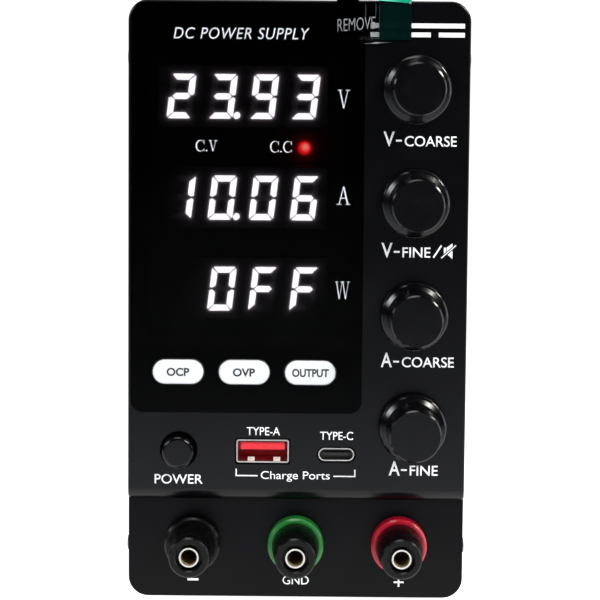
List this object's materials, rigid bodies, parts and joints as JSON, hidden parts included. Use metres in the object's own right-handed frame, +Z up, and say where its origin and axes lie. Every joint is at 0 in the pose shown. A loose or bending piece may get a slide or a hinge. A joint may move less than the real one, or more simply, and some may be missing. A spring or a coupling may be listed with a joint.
{
  "type": "bench power supply",
  "caption": "Narrow upright bench DC power supply: smoked LED display, four control knobs, push buttons, charging ports and three binding posts, with a rear inlet and fan.",
  "frame": {"origin": "centre of the object's box on the bench surface, under the feet", "axes": "+Z up, -Y out of the front panel, +X to the right seen from the front"},
  "size_m": [0.085, 0.2108, 0.156],
  "materials": {
    "bezel_plastic": "fine satin texture",
    "smoked_window": "gloss, dark tint",
    "clear_film": "clear polyester",
    "green_tape": "translucent tape",
    "knob_plastic": "satin black",
    "button_white": "satin white",
    "board_parts": "moulded",
    "nickel": "bright nickel plate",
    "brass": "turned",
    "shaft_aluminium": "turned",
    "port_red": "moulded",
    "port_black": "moulded",
    "circuit_board": "solder mask",
    "lit_segments": "glowing white",
    "lamp_green": "diffused, not lit",
    "lamp_red": "diffused, lit",
    "collar_green": "moulded",
    "collar_red": "moulded",
    "case_paint": "fine texture powder coat",
    "foot_rubber": "matte",
    "screw_steel": "black zinc",
    "inlet_plastic": "moulded",
    "slider_red": "moulded",
    "fuse_glass": "clear",
    "capacitor_sleeve": "shrink sleeve",
    "heatsink_aluminium": "extruded",
    "lead_sleeve": "PVC"
  },
  "bodies": {
    "case": {"front_bezel": "bezel_plastic", "display_window": "smoked_window", "protective_film": "clear_film", "film_pull_tab": "green_tape", "encoder_bodies": "board_parts", "encoder_nuts": "nickel", "tact_switches": "board_parts", "power_switch": "board_parts", "usb_a_shell": "nickel", "usb_a_tongue": "port_red", "usb_c_shell": "nickel", "usb_c_tongue": "port_black", "charger_board": "circuit_board", "display_board": "circuit_board", "led_display_housings": "port_black", "led_digits": "lit_segments", "lamp_cv": "lamp_green", "lamp_cc": "lamp_red", "post_studs": "nickel", "post_rear_nuts": "nickel", "post_collar_black": "knob_plastic", "post_collar_green": "collar_green", "post_collar_red": "collar_red", "case_cover": "case_paint", "chassis_tray": "case_paint", "rear_panel": "case_paint", "rubber_feet": "foot_rubber", "machine_screws": "screw_steel", "fan_frame": "port_black", "mains_inlet": "inlet_plastic", "inlet_pins": "nickel", "voltage_selector": "inlet_plastic", "power_board": "circuit_board", "transformer": "board_parts", "capacitors": "capacitor_sleeve", "heatsinks": "heatsink_aluminium", "inner_leads": "lead_sleeve"},
    "a_fine_knob": {"knob_a_fine": "knob_plastic", "encoder_shaft_a_fine": "shaft_aluminium"},
    "a_coarse_knob": {"knob_a_coarse": "knob_plastic", "encoder_shaft_a_coarse": "shaft_aluminium"},
    "v_fine_shaft": {"encoder_shaft_v_fine": "shaft_aluminium"},
    "v_fine_knob": {"knob_v_fine": "knob_plastic"},
    "v_coarse_knob": {"knob_v_coarse": "knob_plastic", "encoder_shaft_v_coarse": "shaft_aluminium"},
    "ocp_button": {"button_ocp": "button_white"},
    "ovp_button": {"button_ovp": "button_white"},
    "output_button": {"button_output": "button_white"},
    "power_button": {"power_button": "knob_plastic"},
    "minus_sleeve": {"post_insert_minus": "brass"},
    "minus_nut": {"post_nut_minus": "knob_plastic"},
    "ground_sleeve": {"post_insert_ground": "brass"},
    "ground_nut": {"post_nut_ground": "knob_plastic"},
    "plus_sleeve": {"post_insert_plus": "brass"},
    "plus_nut": {"post_nut_plus": "knob_plastic"},
    "fan_rotor": {"fan_rotor": "port_black"},
    "fuse_drawer": {"fuse_drawer": "inlet_plastic", "fuse_link": "fuse_glass"},
    "voltage_slider": {"voltage_slider": "slider_red"}
  },
  "joints": [
    {"name": "a_fine_turn", "type": "hinge", "parent": "case", "child": "a_fine_knob", "pos_m": [0.0288, -0.0969, 0.0499], "axis": [0, -1, 0], "continuous": true},
    {"name": "a_coarse_turn", "type": "hinge", "parent": "case", "child": "a_coarse_knob", "pos_m": [0.0288, -0.0969, 0.07775], "axis": [0, -1, 0], "continuous": true},
    {"name": "v_fine_press", "type": "slide", "parent": "case", "child": "v_fine_shaft", "axis": [0, 1, 0], "range_m": [0, 0.0005], "stiffness_N_per_m": 800, "springref_m": -0.001},
    {"name": "v_fine_turn", "type": "hinge", "parent": "v_fine_shaft", "child": "v_fine_knob", "pos_m": [0.0288, -0.0969, 0.1056], "axis": [0, -1, 0], "continuous": true},
    {"name": "v_coarse_turn", "type": "hinge", "parent": "case", "child": "v_coarse_knob", "pos_m": [0.0288, -0.0969, 0.13345], "axis": [0, -1, 0], "continuous": true},
    {"name": "ocp_press", "type": "slide", "parent": "case", "child": "ocp_button", "axis": [0, 1, 0], "range_m": [0, 0.0005], "stiffness_N_per_m": 500, "springref_m": -0.001},
    {"name": "ovp_press", "type": "slide", "parent": "case", "child": "ovp_button", "axis": [0, 1, 0], "range_m": [0, 0.0005], "stiffness_N_per_m": 500, "springref_m": -0.001},
    {"name": "output_press", "type": "slide", "parent": "case", "child": "output_button", "axis": [0, 1, 0], "range_m": [0, 0.0005], "stiffness_N_per_m": 500, "springref_m": -0.001},
    {"name": "power_press", "type": "slide", "parent": "case", "child": "power_button", "axis": [0, 1, 0], "range_m": [0, 0.0025], "stiffness_N_per_m": 300, "springref_m": -0.002},
    {"name": "minus_nut_travel", "type": "slide", "parent": "case", "child": "minus_sleeve", "axis": [0, -1, 0], "range_m": [0, 0.004]},
    {"name": "minus_nut_turn", "type": "hinge", "parent": "minus_sleeve", "child": "minus_nut", "pos_m": [-0.02585, -0.0969, 0.0198], "axis": [0, -1, 0], "range_deg": [0, 1440]},
    {"name": "ground_nut_travel", "type": "slide", "parent": "case", "child": "ground_sleeve", "axis": [0, -1, 0], "range_m": [0, 0.004]},
    {"name": "ground_nut_turn", "type": "hinge", "parent": "ground_sleeve", "child": "ground_nut", "pos_m": [0, -0.0969, 0.0198], "axis": [0, -1, 0], "range_deg": [0, 1440]},
    {"name": "plus_nut_travel", "type": "slide", "parent": "case", "child": "plus_sleeve", "axis": [0, -1, 0], "range_m": [0, 0.004]},
    {"name": "plus_nut_turn", "type": "hinge", "parent": "plus_sleeve", "child": "plus_nut", "pos_m": [0.02585, -0.0969, 0.0198], "axis": [0, -1, 0], "range_deg": [0, 1440]},
    {"name": "fan_spin", "type": "hinge", "parent": "case", "child": "fan_rotor", "pos_m": [0, 0.0911, 0.11], "axis": [0, 1, 0], "continuous": true},
    {"name": "fuse_drawer_pull", "type": "slide", "parent": "case", "child": "fuse_drawer", "axis": [0, 1, 0], "range_m": [0, 0.018]},
    {"name": "voltage_slide", "type": "slide", "parent": "case", "child": "voltage_slider", "axis": [-1, 0, 0], "range_m": [0, 0.0066]}
  ],
  "couplings": [
    {"joint": "minus_nut_turn", "follows": "minus_nut_travel", "rad_per_m": 6283.2},
    {"joint": "ground_nut_turn", "follows": "ground_nut_travel", "rad_per_m": 6283.2},
    {"joint": "plus_nut_turn", "follows": "plus_nut_travel", "rad_per_m": 6283.2}
  ]
}
